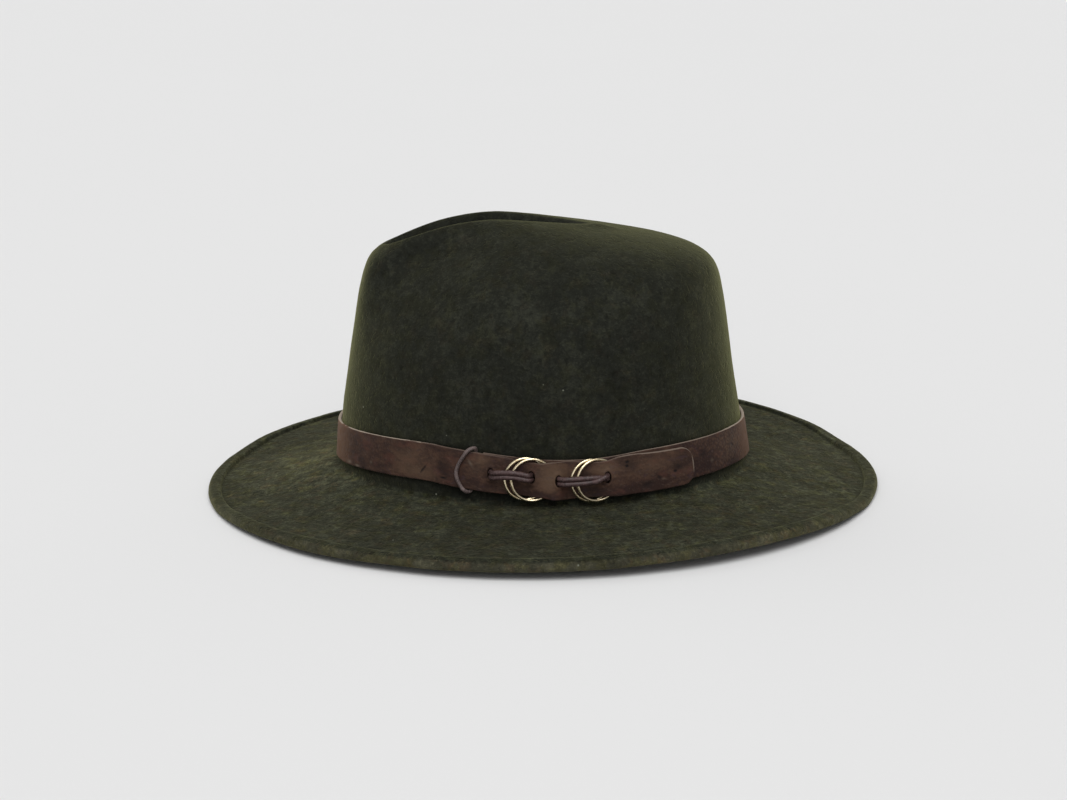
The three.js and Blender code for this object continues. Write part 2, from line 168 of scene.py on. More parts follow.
# start_up and end_up are the heights of a lace's ends over the strap's middle line, bow is
# the rise between.
LACES = table(
    "name start end start_up end_up bow strands",
    ("lace_1", 103.75, 92.9, 0.1, 1.2, 1.35, (
        strand((0, 1.15, 0.1), (0.3, 1.25, 0.1), (0.7, 1.2, 0.1), (1, 1.15, 0)),
        strand((0, -1.2, 0), (0.3, -1.1, -0.05), (0.7, -1.15, 0), (1, -1.15, 0)),
    )),
    ("lace_2", 86.0, 73.3, 0.1, 0.7, 0.25, (
        strand((0, 1.15, 0), (0.4, 1.2, 0), (0.75, 1.0, -0.25), (1, -0.4, -0.9)),
        strand((0, -1.2, 0), (0.4, -1.15, 0), (0.7, -0.85, 0.25), (1, 1.1, 0.35)),
    )),
)
STRAND_RADIUS = 1.2

# The keeper's way round the tail, measured from the middle of the tail
KEEPER_ANGLE = 110.1
KEEPER_PATH = table(
    "along up out",
    (3.4, 10.8, -0.4), (0.9, 10.1, 1.9), (-1.9, 6.4, 2.05), (-4.5, 1.6, 2.05),
    (-5.1, -2.4, 2.05), (-3.7, -6.4, 2.05), (-1.2, -9.7, 1.9), (0.6, -10.55, -0.5),
    (1.6, -8.8, -2.2), (2.6, 0, -2.25), (3.4, 8.6, -2.2),
)


def length_property(name, description, size, least=0):
    """A length whose default and least size are given in millimetres."""
    return FloatProperty(
        name=name,
        description=description,
        default=size * MM,
        min=least * MM,
        subtype="DISTANCE",
        unit="LENGTH",
    )


def colour_property(name, description, default):
    return FloatVectorProperty(
        name=name, description=description, default=default, min=0, max=1, subtype="COLOR"
    )


class HatSizes(bpy.types.PropertyGroup):
    """Sizes of the fine detail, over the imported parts"""

    ring_wire: length_property("Ring wire", "Thickness of the rings' wire", 1.4, 0.5)
    keeper_cord: length_property(
        "Keeper cord", "Thickness of the keeper's round thong", 1.85, 0.5
    )
    felt_relief: length_property("Felt relief", "Unevenness of the blocked felt", 0.35)
    strap_relief: length_property("Strap relief", "Unevenness of the strap's face", 0.16)


class HatColours(bpy.types.PropertyGroup):
    """Main colours of the finishes"""

    felt: colour_property("Felt", "Dyed wool felt", (0.0122, 0.0131, 0.0104))
    felt_light: colour_property(
        "Felt fibres", "Lighter fibres and worn places of the felt", (0.0340, 0.0356, 0.0260)
    )
    strap: colour_property("Strap", "Face of the strap's leather", (0.082, 0.044, 0.028))
    strap_dark: colour_property(
        "Strap, darker", "Darker, redder places of the strap", (0.026, 0.0125, 0.0095)
    )
    strap_edge: colour_property("Strap edge", "Raw cut edge of the strap", (0.36, 0.30, 0.24))
    lace: colour_property("Lace", "Round leather laces", (0.050, 0.0255, 0.0245))
    keeper: colour_property("Keeper", "Greyer leather of the keeper", (0.094, 0.068, 0.063))
    brass: colour_property("Brass", "Bright brass of the rings", (0.86, 0.74, 0.52))
    patina: colour_property("Patina", "Darker tarnish of the rings", (0.42, 0.30, 0.14))
    floor: colour_property("Floor", "Plain pale studio floor", (0.80, 0.80, 0.80))


def column(rows, name):
    return np.array([getattr(row, name) for row in rows], float)


def lerp(a, b, t):
    return a + (b - a) * t


def smoothstep(low, high, x):
    t = np.clip((np.asarray(x, float) - low) / (high - low), 0, 1)
    return t * t * (3 - 2 * t)


def bell(x):
    """1 at 0, and falling smoothly to 0 on both sides."""
    return np.exp(-x * x)


def read_table(rows, name, place):
    """Smooth values of a column at places along the first column, with no overshoot."""
    x, y = column(rows, rows[0]._fields[0]), column(rows, name)
    slope = np.diff(y) / np.diff(x)
    product = slope[:-1] * slope[1:]
    total = slope[:-1] + slope[1:]
    inner = np.where(product > 0, 2 * product / np.where(product > 0, total, 1), 0)
    ends = np.concatenate([[0], inner, [0]])
    at = np.clip(np.asarray(place, float), x[0], x[-1])
    i = np.clip(np.searchsorted(x, at, side="left") - 1, 0, len(x) - 2)
    span = x[i + 1] - x[i]
    t = (at - x[i]) / span
    found = y[i] * (1 + 2 * t) * (1 - t) ** 2 + y[i + 1] * t * t * (3 - 2 * t)
    return found + span * (ends[i] * t * (1 - t) ** 2 - ends[i + 1] * t * t * (1 - t))


def from_back(angle):
    """Angle counted from the back: the tables hold for both sides of the hat."""
    turn = np.mod(angle, 360)
    return np.where(turn > 180, 360 - turn, turn)


def unit(vectors):
    lengths = np.linalg.norm(vectors, axis=-1, keepdims=True)
    return vectors / np.maximum(lengths, 1e-9)


def oval(row, angle):
    c, s = np.cos(np.radians(angle)), np.sin(np.radians(angle))
    x = (row.back + row.front) / 2 + (row.back - row.front) / 2 * c
    return x, -row.side * s * (1 + row.egg * c)


def crown_points(row, angle):
    """Points of one section of the crown, pushed in where the front is pinched."""
    c = np.cos(np.radians(angle))
    x, y = oval(row, angle)
    end_z = lerp(row.front_z, row.back_z, (1 + c) / 2)
    z = lerp(row.side_z, end_z, np.abs(c) ** np.where(c < 0, FRONT_FALL, BACK_FALL))
    along = (x - PINCH.x) / PINCH.length
    up = (z - PINCH.z) / PINCH.height
    push = np.exp(-along * along - up * up) * smoothstep(PINCH.clear, PINCH.full, np.abs(y))
    return np.stack([x, y - np.sign(y) * PINCH.depth * push, z], axis=-1)


def wall_frames(angle, height):
    """Places on the crown's wall at angles and heights, with their directions.

    along runs to the back on the wearer's left side, up along the wall, out away from it.
    """
    angle = np.atleast_1d(np.asarray(angle, float))
    low, high = crown_points(CROWN[0], angle), crown_points(CROWN[1], angle)
    share = (height - low[:, 2]) / (high[:, 2] - low[:, 2])
    point = lerp(low, high, share[:, None])
    up = unit(high - low)
    around = crown_points(CROWN[0], angle - 0.5) - crown_points(CROWN[0], angle + 0.5)
    out = unit(np.cross(unit(around), up))
    return point, unit(np.cross(up, out)), up, out


def strap_height(angle):
    return read_table(STRAP_HEIGHT, "height", from_back(angle))


def wall_frame(angle):
    """Place and directions on the wall at one angle, on the strap's middle line."""
    return tuple(v[0] for v in wall_frames([angle], strap_height(angle)))


def layer_out(lift):
    return STRAP_GAP + STRAP_THICKNESS / 2 + lift


def tail_out(angle):
    return layer_out(read_table(TAIL, "lift", angle))


def through_rings(rings, steps):
    """Rings on the smooth curves through a stack of rings, with a count of steps for each gap."""
    stack = np.stack(rings)
    last = len(stack) - 1
    found = []
    for k, count in enumerate(np.broadcast_to(steps, last)):
        p0, p1 = stack[max(k - 1, 0)], stack[k]
        p2, p3 = stack[k + 1], stack[min(k + 2, last)]
        for j in range(count):
            t = j / count
            curve = 2 * p1 + (p2 - p0) * t
            curve = curve + (2 * p0 - 5 * p1 + 4 * p2 - p3) * t**2
            found.append(0.5 * (curve + (3 * p1 - p0 - 3 * p2 + p3) * t**3))
    found.append(stack[-1])
    return found


def ring_normals(rings):
    """Unit normals of a stack of rings, from the differences of their neighbours."""
    stack = np.stack(rings)
    around = np.roll(stack, -1, axis=1) - np.roll(stack, 1, axis=1)
    return unit(np.cross(around, np.gradient(stack, axis=0)))


def waves(points, rows):
    """Smooth noise at points, summed over rows of a share, a feature size and a seed."""
    total = np.zeros(points.shape[:-1])
    for row in rows:
        flat = points.reshape(-1, 3) / row.size + row.seed
        total += row.share * np.reshape([noise.noise(Vector(p)) for p in flat], total.shape)
    return total


def across_ring(count):
    """Faces across a ring whose points face each other in pairs."""
    faces = [(0, count - 1, 1)]
    for i in range(1, count // 2 - 1):
        faces.append((i, count - i, count - i - 1, i + 1))
    middle = count // 2
    return faces + [(middle - 1, middle + 1, middle)]


def loft(stacks, capped=True):
    """Vertices and faces of one closed skin through each stack of rings.

    A skin is capped at its ends, or else its last ring is joined to its first.
    """
    points, faces = [], []
    for stack in stacks:
        base = sum(len(p) for p in points)
        rings = np.stack(stack)
        bands, count = rings.shape[0], rings.shape[1]
        points.append(rings.reshape(-1, 3))
        index = base + np.arange(bands * count).reshape(bands, count)
        turned = np.roll(index, -1, axis=1)
        for k in range(bands - capped):
            n = (k + 1) % bands
            quads = np.stack([index[k], turned[k], turned[n], index[n]], axis=-1)
            faces.extend(map(tuple, quads.tolist()))
        if capped:
            first = [tuple(base + i for i in face) for face in across_ring(count)]
            end = base + (bands - 1) * count
            final = [tuple(end + i for i in reversed(face)) for face in across_ring(count)]
            faces.extend(first + final)
    return np.concatenate(points), faces


def mesh_object(name, points, faces, crease=40):
    """A smooth-shaded object in the shared frame, in metres, with its faces pointing out."""
    mesh = bpy.data.meshes.new(name)
    mesh.from_pydata((np.asarray(points) * MM).tolist(), [], faces)
    mesh.validate()
    thing = bpy.data.objects.new(name, mesh)
    bpy.context.scene.collection.objects.link(thing)
    if signed_volume(mesh) < 0:
        mesh.flip_normals()
    mesh.shade_smooth()
    mesh.set_sharp_from_angle(angle=math.radians(crease))
    return thing


def signed_volume(mesh):
    mesh.calc_loop_triangles()
    corners = np.empty(len(mesh.loop_triangles) * 3, np.int32)
    mesh.loop_triangles.foreach_get("vertices", corners)
    places = np.empty(len(mesh.vertices) * 3)
    mesh.vertices.foreach_get("co", places)
    a, b, c = places.reshape(-1, 3)[corners.reshape(-1, 3)].transpose(1, 0, 2)
    return float((a * np.cross(b, c)).sum() / 6)


def tag(thing, **shares):
    """Stores numbers for each vertex under names, for the finishes to read."""
    for name, share in shares.items():
        attribute = thing.data.attributes.new(name, "FLOAT", "POINT")
        attribute.data.foreach_set("value", np.ravel(share).astype(np.float32))


def settle(piece, node, finish):
    """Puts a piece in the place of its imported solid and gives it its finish."""
    piece.data.materials.clear()
    piece.data.materials.append(finish)
    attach(piece, "root")
    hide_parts(node)


# Finishes


class Value:
    """A shader socket that takes part in sums: an expression adds its Math nodes."""

    def __init__(self, finish, socket):
        self.finish = finish
        self.socket = socket

    def _math(self, operation, *terms):
        settings = {"operation": operation}
        return self.finish.node("ShaderNodeMath", settings, dict(enumerate(terms)))

    def __add__(self, other):
        return self._math("ADD", self, other)

    def __radd__(self, other):
        return self._math("ADD", other, self)

    def __sub__(self, other):
        return self._math("SUBTRACT", self, other)

    def __rsub__(self, other):
        return self._math("SUBTRACT", other, self)

    def __mul__(self, other):
        return self._math("MULTIPLY", self, other)

    def __rmul__(self, other):
        return self._math("MULTIPLY", other, self)

    def larger(self, other):
        return self._math("MAXIMUM", self, other)


class Finish:
    """A material in the making: its nodes come from one method."""

    def __init__(self, name):
        self.material = bpy.data.materials.new(name)
        self.material.use_nodes = True
        self.tree = self.material.node_tree
        self.tree.nodes.clear()
        self.output = self.tree.nodes.new("ShaderNodeOutputMaterial")

    def node(self, kind, settings=None, inputs=None, output=0):
        """Adds a node: its settings first, then the values or links of its sockets."""
        made = self.tree.nodes.new(kind)
        for name, setting in (settings or {}).items():
            if name == "stops":
                self._set_stops(made.color_ramp, setting)
            else:
                setattr(made, name, setting)
        for key, value in (inputs or {}).items():
            if isinstance(value, Value):
                self.tree.links.new(value.socket, made.inputs[key])
            else:
                made.inputs[key].default_value = value
        return Value(self, made.outputs[output])

    @staticmethod
    def _set_stops(ramp, stops):
        while len(ramp.elements) < len(stops):
            ramp.elements.new(0.5)
        for element, (place, colour) in zip(ramp.elements, stops):
            element.position = place
            element.color = (*colour, 1)

    def place(self):
        return self.node("ShaderNodeTexCoord", output="Object")

    def tagged(self, name):
        return self.node("ShaderNodeAttribute", {"attribute_name": name}, output="Fac")

    def stretched(self, place, scale, turn=(0, 0, 0)):
        """Places turned and scaled, so that a pattern is drawn out along one way."""
        turned = self.node(
            "ShaderNodeVectorRotate",
            {"rotation_type": "EULER_XYZ"},
            {"Vector": place, "Rotation": [math.radians(a) for a in turn]},
        )
        settings = {"operation": "MULTIPLY"}
        return self.node("ShaderNodeVectorMath", settings, {0: turned, 1: scale})

    def noise(self, place, scale, detail=2, roughness=0.5, distortion=0):
        names = ("Vector", "Scale", "Detail", "Roughness", "Distortion")
        inputs = dict(zip(names, (place, scale, detail, roughness, distortion)))
        return self.node("ShaderNodeTexNoise", {"noise_dimensions": "3D"}, inputs)

    def between(self, value, low, high, out_low=0, out_high=1):
        """Share of the way from low to high, smoothed and kept within its ends."""
        inputs = {"Value": value, 1: low, 2: high, 3: out_low, 4: out_high}
        return self.node("ShaderNodeMapRange", {"interpolation_type": "SMOOTHSTEP"}, inputs)

    def mix(self, share, a, b, blend="MIX"):
        """Colour a turned into colour b by a share."""
        a, b = (v if isinstance(v, Value) else (*v, 1) for v in (a, b))
        settings = {"data_type": "RGBA", "blend_type": blend}
        return self.node("ShaderNodeMix", settings, {0: share, 6: a, 7: b}, output=2)

    def tinted(self, colour, tints, blend="MIX"):
        """Lays tints over a colour in turn, each by its share."""
        for share, tint in tints:
            colour = self.mix(share, colour, tint, blend)
        return colour

    def strokes(self, place, ways, low, high):
        """Short fibres or scratches that lie in a few ways: 1 on one of them and 0 off them."""
        shares = []
        for row in ways:
            drawn = self.stretched(place, (row.across, row.across, row.along), row.turn)
            shares.append(self.between(self.noise(drawn, 1, 1), low, high))
        return reduce(Value.larger, shares)

    def bump(self, height, strength, distance):
        inputs = {"Height": height, "Strength": strength, "Distance": distance}
        return self.node("ShaderNodeBump", {}, inputs)

    def principled(self, **inputs):
        spaced = {name.replace("_", " "): value for name, value in inputs.items()}
        return self.node("ShaderNodeBsdfPrincipled", {}, spaced)

    def ended(self, shader):
        """Ends the material in a shader and returns the material."""
        self.tree.links.new(shader.socket, self.output.inputs["Surface"])
        return self.material

    def surface(self, **inputs):
        return self.ended(self.principled(**inputs))


# Ways in which fibres and scratches lie: turn in degrees, count to the metre across and along
FELT_FIBRES = table(
    "turn across along",
    ((84, 8, 25), 1300, 300),
    ((95, -12, 80), 1150, 260),
    ((20, 75, 140), 1300, 300),
)
STRAP_SCRATCHES = table("turn across along", ((10, 62, 15), 900, 130), ((4, 84, -20), 1100, 160))

LINT = (0.16, 0.165, 0.13)
CROWN_SHEEN = {"Sheen_Weight": 0.35, "Sheen_Tint": (0.66, 0.66, 0.30, 1)}
BRIM_SHEEN = {"Sheen_Weight": 0.14, "Sheen_Tint": (0.66, 0.62, 0.36, 1)}
DULL_EDGE = (0.095, 0.065, 0.050)
DARK_MARK_CORE = (0.006, 0.004, 0.004)
LACE_RUBBED_HIGHLIGHT = (0.17, 0.125, 0.12)
KEEPER_RUBBED_HIGHLIGHT = (0.24, 0.19, 0.19)


def felt_finish(colours):
    """Dyed wool felt: uneven dye, matted tufts with dents between, fibres and pale specks, with
    painted light on the brim and its rim and painted shade in the dents and over the strap.
    """
    finish = Finish("loden_felt")
    place = finish.place()
    brim, rim = finish.tagged("brim"), finish.tagged("rim")
    dye = finish.noise(place, 20, 3, 0.55)
    clouds = finish.noise(place, 95, 3, 0.6)
    tufts = finish.noise(place, 360, 3, 0.62, 0.4)
    nap = finish.noise(place, 950, 2, 0.6)
    dents = finish.between(finish.noise(place, 330, 3, 0.6, 0.5), 0.34, 0.46, 1, 0)
    fibres = finish.strokes(place, FELT_FIBRES, 0.62, 0.76)
    smooth = 1 - rim * 0.6
    tone = 0.42 + (dye - 0.5) * 0.5 + (clouds - 0.5) * (0.7 + brim * 0.5)
    matted = (0.9 + brim * 0.8) * smooth
    tone = tone + (tufts - 0.5) * matted + (nap - 0.5) * 0.5 + fibres * 0.22
    # Painted shade: the dents between the tufts are darkened; the bump also sinks them
    tone = tone - brim * 0.09 - dents * (0.18 + brim * 0.32) * smooth
    stops = ((0, colours.felt * 0.45), (0.42, colours.felt), (1, colours.felt_light))
    colour = finish.node("ShaderNodeValToRGB", {"stops": stops}, {"Fac": tone})

    olive = finish.between(finish.noise(place, 120, 4, 0.65), 0.46, 0.62)
    brown = finish.between(finish.noise(place, 150, 4, 0.65, 0.5), 0.52, 0.66)
    tints = (
        (olive * (0.35 + brim * 0.3), (1.12, 1.08, 0.66)),
        (brown * (0.25 + brim * 0.35), (1.40, 1.02, 0.90)),
        # Painted light: the brim's felt lightened where it faces up, standing in for the sheen it
        # lacks
        (brim, (1.60, 1.65, 1.45)),
        # Painted light: the brim lightened towards the hat's front and back
        (finish.tagged("bleached"), (1.75, 1.70, 1.55)),
        # Painted light: a pool of light on the brim by the front of the crown
        (finish.tagged("sunned"), (1.75, 1.65, 1.42)),
        # Painted light: the welt's rim, which faces out and down, is lightened
        (rim, (2.5, 2.2, 2.05)),
        # Painted shade on the felt over the strap's top edge
        (finish.tagged("shade"), (0.35, 0.32, 0.34)),
        # Pale fold edge: paler fuzz with a painted highlight where the edge catches the light
        (finish.tagged("seam") * finish.between(clouds, 0.38, 0.6), (1.8, 1.8, 1.7)),
    )
    colour = finish.tinted(colour, tints, "MULTIPLY")
    cells = {"Vector": place, "Scale": 110}
    specks = finish.node("ShaderNodeTexVoronoi", {"feature": "F1"}, cells)
    chosen = finish.between(finish.noise(place, 48, 0), 0.60, 0.63)
    lint = finish.between(specks, 0.035, 0.06, 1, 0) * chosen
    colour = finish.mix(lint * 0.8, colour, LINT)

    height = (tufts * 0.9 + nap * 0.35 + fibres * 0.2 - dents * 0.5) * (0.45 + brim * 0.55)
    matt = {
        "Base_Color": colour,
        "Roughness": 0.95,
        "Specular_IOR_Level": 0.1,
        "Sheen_Roughness": 0.42,
        "Normal": finish.bump(height, 0.7, 0.7 * MM),
    }
    crown_felt = finish.principled(**matt, **CROWN_SHEEN)
    brim_felt = finish.principled(**matt, **BRIM_SHEEN)
    both = {0: brim, 1: crown_felt, 2: brim_felt}
    return finish.ended(finish.node("ShaderNodeMixShader", {}, both))


def strap_finish(colours):
    """Worn split leather: clouded browns, pebbled grain, pale cut edges, pits and marks, with
    painted light on its ends and painted shade in its grooves and creases.
    """
    finish = Finish("strap_leather")
    place = finish.place()
    dark_mark, worn = finish.tagged("dark_mark"), finish.tagged("worn")
    pebbled = finish.tagged("pebbled")
    drawn = finish.stretched(place, (1, 1, 2.1))
    clouds = finish.noise(drawn, 62, 4, 0.6, 0.5)
    patches = finish.noise(drawn, 210, 3, 0.62)
    speckle = finish.noise(place, 950, 3, 0.65)
    cells = {"Vector": place, "Scale": 720, "Smoothness": 0.5}
    pebbles = finish.node("ShaderNodeTexVoronoi", {"feature": "SMOOTH_F1"}, cells)
    scratches = finish.strokes(place, STRAP_SCRATCHES, 0.64, 0.74)

    tone = 0.38 + (clouds - 0.5) * 1.5 + (patches - 0.5) * 1.1 + (speckle - 0.5) * 0.7
    tone = finish.between(tone + worn * 0.55, 0, 1)
    colour = finish.mix(tone, colours.strap_dark, colours.strap)
    red = finish.between(finish.noise(drawn, 88, 3, 0.6), 0.52, 0.68)
    plum = finish.between(finish.noise(drawn, 130, 3, 0.6, 0.8), 0.57, 0.70)
    tints = (
        (red * 0.5, (0.078, 0.031, 0.022)),
        (plum * 0.5, (0.042, 0.024, 0.030)),
        (worn * 0.45, (0.105, 0.070, 0.043)),
        (scratches * 0.12, (0.15, 0.11, 0.09)),
        # Painted light: the strap's ends, where it turns away at the crown's sides, lit tan
        (finish.tagged("faded") * 0.9, (0.20, 0.105, 0.055)),
        # Painted shade in the grooves between the pebbled grain
        (finish.between(pebbles, 0.35, 0.6) * pebbled * 0.5, (0.020, 0.010, 0.010)),
        # Painted shade in the creases where the tail bends over the rings
        (finish.tagged("crease") * 0.55, (0.020, 0.011, 0.010)),
        (finish.tagged("light_mark"), (0.20, 0.165, 0.125)),
    )
    colour = finish.tinted(colour, tints)
    # The cut edge: pale at the hat's front and back and on the tail's outline, darker between
    rim_colour = finish.mix(finish.tagged("pale"), DULL_EDGE, colours.strap_edge)
    ragged = finish.between(finish.tagged("edge") + (speckle - 0.5) * 0.8, 0.4, 0.8)
    colour = finish.mix(ragged, colour, rim_colour)
    # Near-black of the dark marks: darker leather, with painted shade where they are pits
    colour = finish.mix(dark_mark, colour, DARK_MARK_CORE)

    height = patches * 0.5 + speckle * 0.25 + scratches * 0.12 - dark_mark * 0.8
    height = height - pebbles * (0.2 + pebbled * 0.9)
    return finish.surface(
        Base_Color=colour,
        Roughness=finish.between(patches, 0.2, 0.8, 0.58, 0.82),
        Specular_IOR_Level=0.2,
        Sheen_Weight=0.03,
        Sheen_Roughness=0.5,
        Sheen_Tint=(0.8, 0.62, 0.55, 1),
        Normal=finish.bump(height, 0.55, 0.4 * MM),
    )


def cord_finish(name, base, rubbed):
    """Round leather thong: fine wrinkles across it, pale on their crests with rubbing and a
    painted highlight, with painted shade in their notches.
    """
    finish = Finish(name)
    place = finish.place()
    tone = finish.noise(place, 300, 3, 0.6)
    grain = finish.noise(place, 1900, 2, 0.6)
    turns = {0: finish.tagged("along") * 2.1, 1: tone * 1.6, 2: 0}
    across = finish.node("ShaderNodeCombineXYZ", {}, turns)
    wrinkles = finish.noise(across, 1)
    share = finish.between(tone + (grain - 0.5) * 0.5, 0.3, 0.75)
    colour = finish.mix(share, base * 0.6, base * 1.4)
    # The crests are lightened: rubbed leather and a painted highlight
    worn = finish.between(grain + wrinkles, 0.95, 1.25)
    colour = finish.mix(worn * 0.4, colour, rubbed)
    # Painted shade in the notches between the wrinkles
    notches = finish.between(wrinkles, 0.30, 0.42, 1, 0)
    colour = finish.mix(notches * 0.35, colour, base * 0.3)
    return finish.surface(
        Base_Color=colour,
        Roughness=finish.between(tone, 0.3, 0.7, 0.42, 0.6),
        Specular_IOR_Level=0.4,
        Normal=finish.bump(wrinkles * 0.8 + grain * 0.3, 0.45, 0.3 * MM),
    )


def brass_finish(colours):
    """Aged brass wire: bright where it is rubbed, tarnished elsewhere, finely scratched."""
    finish = Finish("ring_brass")
    place = finish.place()
    tarnish = finish.between(finish.noise(place, 380, 4, 0.6), 0.45, 0.75)
    scratch = finish.noise(finish.stretched(place, (500, 500, 3200), (40, 20, 0)), 1)
    return finish.surface(
        Base_Color=finish.mix(tarnish * 0.8, colours.brass, colours.patina),
        Metallic=1,
        Roughness=finish.between(tarnish, 0, 1, 0.24, 0.42),
        Normal=finish.bump(scratch, 0.15, 0.1 * MM),
    )


def floor_finish(colours):
    finish = Finish("studio_floor")
    shade = finish.noise(finish.place(), 3)
    colour = finish.mix(shade, colours.floor, colours.floor * 0.99)
    return finish.surface(Base_Color=colour, Roughness=0.9, Specular_IOR_Level=0.1)


def colours_of(context):
    """Colours as arrays of three numbers, so that they can be multiplied."""
    group = context.scene.hat_colours
    names = list(HatColours.__annotations__)
    return values(names, *(np.array(getattr(group, name), float) for name in names))


# Felt

ROUND_POINTS = 480
ROUND = np.arange(ROUND_POINTS) * 360 / ROUND_POINTS
WALL_STEPS = 16
CROWN_STEPS = 5
INNER_STEPS = 2
BRIM_RINGS = 22
UNDER_RINGS = 14
BREAK_TURNS = (22.5, 45, 67.5, 90)
FELT_WAVES = table("share size seed", (1, 52, 0), (0.45, 17, 5), (0.22, 6, 9))
# The unevenness ends over the floor: the least height, and the height up to which there is none
FELT_FLOOR = values("least still", 0.02, 0.6)
# Share of the brim's colour on its welt
WELT_SHARE = 0.6
# Distances in from the edge over which the painted light on the welt's rim ends, and its share
# round the hat: least at the front and back, full at the sides
PAINTED_RIM_REACH = (0.6, 2.6)
PAINTED_RIM_SIDES = values("least low high", 0.3, 0.35, 0.9)
# Pale line along the fold's cut edge, its paler fuzz with a painted highlight, and the first row
# of the welt's underside, which has none
FOLD_EDGE_LINE = values("inward reach", 5.3, 0.5)
UNDER_FROM = 16
# Place on the brim, by the front of the crown, where a pool of light is painted
LIGHT_POOL_PLACE = values("x y length width", -114, 20, 22, 34)
# Painted shade: a dark line on the felt just over the strap
SHADE = values("share height under", 0.75, 1.2, 2)


def felt_rings():
    """Rings of the felt from the crease over the crown and brim, and back inside.

    With them come the shares of brim, of the painted light on the rim and of the pale fold edge
    that each ring belongs to.
    """
    outer = [crown_points(row, ROUND) for row in CROWN]
    inner = list(np.stack(outer) + ring_normals(outer) * FELT)

    foot = outer[0]
    edge_x, edge_y = oval(BRIM, ROUND)
    way = np.stack([edge_x - foot[:, 0], edge_y - foot[:, 1]], axis=-1)
    reach = np.linalg.norm(way, axis=-1)
    way = unit(way)
    rise = read_table(EDGE_RISE, "rise", from_back(ROUND))
    slope = WELT_SLOPE * smoothstep(0, WELT_SLOPE_RISE, rise)

    def spread(outward, z):
        flat = foot[:, :2] + way * np.broadcast_to(outward, reach.shape)[:, None]
        return np.concatenate([flat, np.broadcast_to(z, reach.shape)[:, None]], axis=1)

    def break_ring(radius, turn):
        outward = BREAK_RADIUS - radius * math.cos(math.radians(turn))
        return spread(outward, foot[:, 2] - radius * math.sin(math.radians(turn)))

    def brim_ring(share, drop):
        end_height = rise + FELT + slope * WELT[0].inward
        height = lerp(foot[:, 2] - BREAK_RADIUS, end_height, share)
        height = height - BRIM_SAG * math.sin(math.pi * share) - drop
        return spread(lerp(BREAK_RADIUS, reach - WELT[0].inward, share), height)

    def welt_ring(row):
        return spread(reach - row.inward, rise + row.height + slope * row.inward)

    steps = [WALL_STEPS] + [CROWN_STEPS] * (len(CROWN) - 2)
    rings = through_rings(outer, steps)[::-1]
    wall = len(rings)
    rings += [break_ring(BREAK_RADIUS, turn) for turn in BREAK_TURNS]
    rings += [brim_ring(i / BRIM_RINGS, 0) for i in range(1, BRIM_RINGS)]
    welt = slice(len(rings), len(rings) + len(WELT))
    rings += [welt_ring(row) for row in WELT]
    rings += [brim_ring(i / UNDER_RINGS, FELT) for i in range(UNDER_RINGS - 1, 0, -1)]
    rings += [break_ring(BREAK_RADIUS + FELT, turn) for turn in reversed(BREAK_TURNS)]
    brim_end = len(rings)
    rings += through_rings(inner, INNER_STEPS)

    brim, rim, seam = np.zeros((3, len(rings)))
    inward = column(WELT, "inward")
    brim[wall:brim_end] = 1
    brim[welt] = WELT_SHARE
    # Share of the painted light on the welt's rim, ending inwards
    rim[welt] = 1 - smoothstep(*PAINTED_RIM_REACH, inward)
    seam[welt] = bell((inward - FOLD_EDGE_LINE.inward) / FOLD_EDGE_LINE.reach)
    seam[welt.start + UNDER_FROM :] = 0
    return np.stack(rings), brim, rim, seam


def strap_shade(rings):
    """Share of the painted shade on the felt just over the strap, for each point of the rings."""
    over = rings[..., 2] - strap_height(ROUND) - STRAP_WIDTH / 2
    return SHADE.share * bell(np.maximum(over, 0) / SHADE.height) * (over > -SHADE.under)


def felt_body(sizes):
    """Blocked felt with the small unevenness of hand shaping."""
    rings, brim, rim, seam = felt_rings()
    uneven = waves(rings, FELT_WAVES) * sizes.felt_relief / MM
    moved = rings + ring_normals(rings) * uneven[..., None]
    moved[..., 2] = np.maximum(moved[..., 2], FELT_FLOOR.least)
    still = rings[..., 2] < FELT_FLOOR.still
    moved[still] = rings[still]
    felt = mesh_object("felt_hat", *loft([moved]))

    turn = np.radians(ROUND)
    sideways = smoothstep(PAINTED_RIM_SIDES.low, PAINTED_RIM_SIDES.high, np.abs(np.sin(turn)))
    along = (rings[..., 0] - LIGHT_POOL_PLACE.x) / LIGHT_POOL_PLACE.length
    across = (rings[..., 1] - LIGHT_POOL_PLACE.y) / LIGHT_POOL_PLACE.width
    tag(
        felt,
        brim=np.repeat(brim, ROUND_POINTS),
        rim=np.outer(rim, lerp(PAINTED_RIM_SIDES.least, 1, sideways)),
        seam=np.repeat(seam, ROUND_POINTS),
        # painted light on the brim, most at the front and back
        bleached=np.outer(brim, np.cos(turn) ** 2),
        sunned=brim[:, None] * np.exp(-along * along - across * across),
        shade=strap_shade(rings),
    )
    return felt


# Strap

STRAP_SOFT = 0.55
CORNER_TURNS = np.array([15, 38, 60, 80])
FACE_POINTS = 47
BACK_POINTS = 11
# Steps between the strap's sections, closer where it shows
PLAIN_STEPS = table(
    "start end step", (106, 46, 1.0), (46, 6, 0.35), (6, -188, 1.0), (-188, -237, 0.35)
)
TAIL_STEP = 0.25
TIP_STEPS = 22
# The tip's cut end is rounded over by one more section, thinner and further on
TIP_END = values("scale along", 0.82, 0.28)
# Depths under the face over which its relief ends
RELIEF_DEPTH = (0.5, 0.02)
STRAP_WAVES = table("share size seed", (1, 11, 0), (0.5, 4.2, 3), (0.35, 1.9, 7))
STRAP_WANDER = table("share size seed", (0.22, 23, 4), (0.08, 3, 6))
# Raised edge of a slot, by the slot's half sizes
SLOT_LIP = values("far width height", 1.2, 0.3, 0.34)
SLOT_SIDES = 28
SLOT_DEPTH = 0.6


